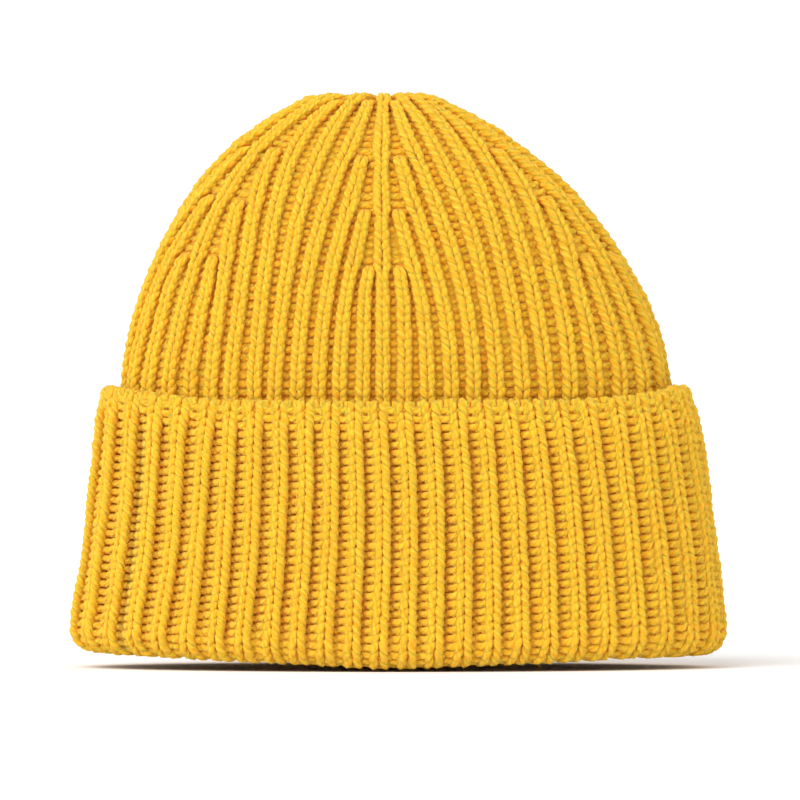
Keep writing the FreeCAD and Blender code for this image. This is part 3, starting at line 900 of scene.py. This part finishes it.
def label():
    """A strip of ribbon folded end to end and tacked to the back seam by its ends."""
    straight = LABEL_LENGTH - LABEL_GAP
    drop = np.linspace(0, straight, LABEL_STEPS + 1)
    angle = np.linspace(0, np.pi, FOLD_STEPS + 1)[1:-1]
    level = np.full(len(drop), LABEL_GAP)
    y = np.concatenate([level, LABEL_GAP * np.cos(angle), -level])
    down = np.concatenate([drop, straight + LABEL_GAP * np.sin(angle), drop[::-1]])
    y = LABEL_Y + y - LABEL_HANG * (down / LABEL_LENGTH) ** 2
    x = np.linspace(-LABEL_WIDTH / 2, LABEL_WIDTH / 2, CROSS_STEPS + 1)
    sheet = np.empty((len(y), len(x), 3))
    sheet[..., 0] = x
    sheet[..., 1] = y[:, None] - LABEL_CUP * (x / LABEL_WIDTH * 2) ** 2 * (down / LABEL_LENGTH)[:, None]
    sheet[..., 2] = LABEL_TOP - down[:, None]
    normal = np.cross(np.gradient(sheet, axis=0), np.gradient(sheet, axis=1))
    normal *= RIBBON / 2 / np.linalg.norm(normal, axis=-1, keepdims=True)
    corners = np.concatenate([(sheet + normal).reshape(-1, 3), (sheet - normal).reshape(-1, 3)])
    index = np.arange(sheet[..., 0].size).reshape(sheet.shape[:2])
    under = index + index.size
    top = np.stack([index[:-1, :-1], index[:-1, 1:], index[1:, 1:], index[1:, :-1]], -1).reshape(-1, 4)
    rim = np.concatenate([index[0], index[1:, -1], index[-1, -2::-1], index[-2:0:-1, 0]])
    after = np.roll(rim, -1)
    edge = np.stack([after, rim, rim + index.size, after + index.size], -1)
    faces = np.concatenate([top, under.flat[top[:, ::-1]], edge])
    length = np.r_[0, np.linalg.norm(np.diff(sheet[:, 0], axis=0), axis=1).cumsum()]
    along = np.tile(np.repeat(length, len(x)), 2)
    across = np.tile(np.tile(x, len(y)), 2)
    tubes = [(corners, faces, along, across, 0 * across)]
    u = np.linspace(0, np.pi, TACK_STEPS + 1)
    tack_y = LABEL_Y - TACK_OUT * np.sin(u) - TACK_BOW * np.cos(u)
    tack_z = LABEL_TOP - TACK_DROP - TACK_RISE * np.cos(u)
    for place in np.linspace(-TACK_SPAN / 2, TACK_SPAN / 2, TACKS):
        path = np.stack([np.full(len(u), place), tack_y, tack_z], 1)
        tubes.append(sweep(path, tapered(len(u), TACK_THREAD), closed=False))
    return tubes


def ribbon_material():
    """A fine plain weave: along and turn_cos are millimetres along and across the ribbon."""
    material, tree, shader = new_material("ribbon")
    waves = []
    for key in ("along", "turn_cos"):
        angle = math_node(tree, "MULTIPLY", attribute(tree, key), 2 * math.pi / WEAVE)
        waves.append(math_node(tree, "SINE", angle))
    add_bump(tree, math_node(tree, "MULTIPLY", *waves), *WEAVE_BUMP)
    patches = noise(tree, place_in(tree, "Object"), Scale=RIBBON_NOISE_SCALE)
    toned = colour_ramp(tree, patches, (0.0, RIBBON_DARK), (1.0, RIBBON_LIGHT))
    tree.links.new(toned, shader.inputs["Base Color"])
    set_inputs(shader, RIBBON_LOOK)
    return material


closing_wool = wool_material("closing_wool", WOOL_COLOUR)
thread = wool_material("seam_thread", THREAD_COLOUR)
back_rows = np.arange(SEAM_START, LAST_ROW, SEAM_ROW_STEP)
back_heights = middle(np.full(len(back_rows), np.pi), back_rows)[:, 2]
back_rows = back_rows[back_heights < SEAM_TOP]
cuff_rows = np.arange(CUFF_SEAM_START, CUFF_SEAM_END, SEAM_ROW_STEP)
closing = {
    "closing_yarn_strand": make_mesh("closing_yarn_strand", closing_loop(), closing_wool),
    "closing_knot_strand": make_mesh("closing_knot_strand", closing_knot(), closing_wool),
}
back_seam = make_mesh("back_seam_thread", seam(back_rows, -SEAM_OFF, RIDGE), thread)
cuff_seam = make_mesh("cuff_seam_thread", seam(cuff_rows, CUFF_SEAM_OFF, CUFF_RIDGE), thread)
ribbon = make_mesh("care_label_ribbon", label(), ribbon_material())
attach(closing["closing_yarn_strand"], "crown")
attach(closing["closing_knot_strand"], "crown")
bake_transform(back_seam)
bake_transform(cuff_seam)
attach(ribbon, "crown")
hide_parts("closing_yarn")
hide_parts("closing_knot")
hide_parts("back_seam")
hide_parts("cuff_seam")
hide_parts("care_label")
